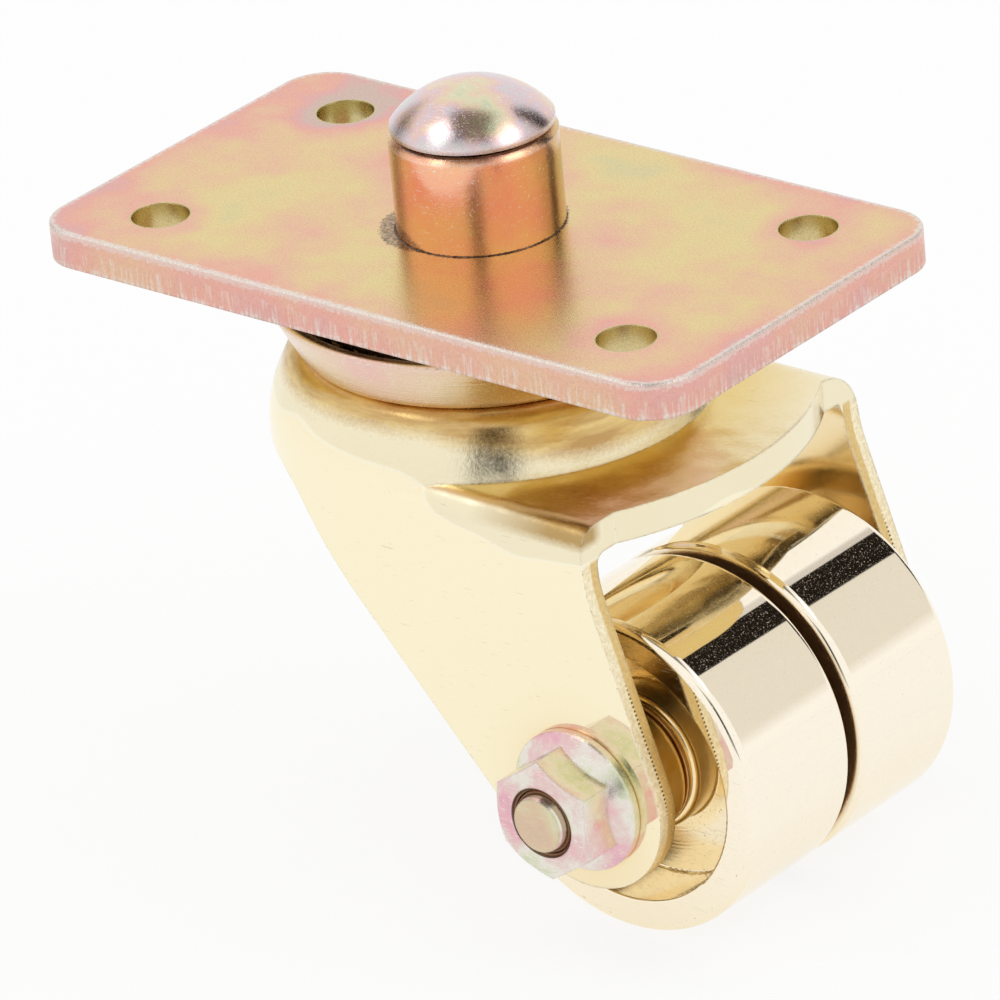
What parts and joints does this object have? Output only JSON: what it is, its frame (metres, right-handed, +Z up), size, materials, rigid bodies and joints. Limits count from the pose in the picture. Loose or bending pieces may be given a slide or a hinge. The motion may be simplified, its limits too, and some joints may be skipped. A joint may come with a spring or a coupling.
{
  "type": "piano castor",
  "caption": "Twin-wheel piano castor with a flat bolt-on plate, a swivel tower, a deep-drawn gold-plated fork and polished metal wheels.",
  "frame": {"origin": "swivel axis at the plate's top face, in the middle of the four bolt holes", "axes": "+X along the plate's long side, the way the wheels trail; +Z up, out of the mounting face"},
  "size_m": [0.0976, 0.0646, 0.0941],
  "materials": {
    "zinc_plate": "satin",
    "zinc_sleeve": "satin",
    "zinc_pin": "polished",
    "zinc_cup": "satin",
    "zinc_hardware": "satin",
    "gold_fork": "polished",
    "gold_wheel": "mirror",
    "gold_collar": "polished",
    "hard_steel": "ground",
    "bearing_bronze": "machined"
  },
  "bodies": {
    "plate": {"top_plate": "zinc_plate", "stem_sleeve": "zinc_sleeve", "pin_bush": "bearing_bronze", "upper_race": "hard_steel"},
    "fork": {"fork": "gold_fork", "king_pin": "zinc_pin", "head_washer": "hard_steel", "race_cup": "zinc_cup", "race_balls": "hard_steel", "axle_bolt": "zinc_hardware", "flange_nut": "zinc_hardware", "axle_tube": "hard_steel", "near_spacer": "gold_collar", "far_spacer": "gold_collar", "centre_spacer": "bearing_bronze"},
    "near_wheel": {"near_wheel": "gold_wheel", "near_outer_bush": "bearing_bronze", "near_inner_bush": "bearing_bronze"},
    "far_wheel": {"far_wheel": "gold_wheel", "far_outer_bush": "bearing_bronze", "far_inner_bush": "bearing_bronze"}
  },
  "joints": [
    {"name": "swivel", "type": "hinge", "parent": "plate", "child": "fork", "pos_m": [0, 0, 0], "axis": [0, 0, 1], "continuous": true},
    {"name": "near_spin", "type": "hinge", "parent": "fork", "child": "near_wheel", "pos_m": [0.0299, -0.01045, -0.056], "axis": [0, 1, 0], "continuous": true},
    {"name": "far_spin", "type": "hinge", "parent": "fork", "child": "far_wheel", "pos_m": [0.0299, 0.01045, -0.056], "axis": [0, 1, 0], "continuous": true}
  ]
}
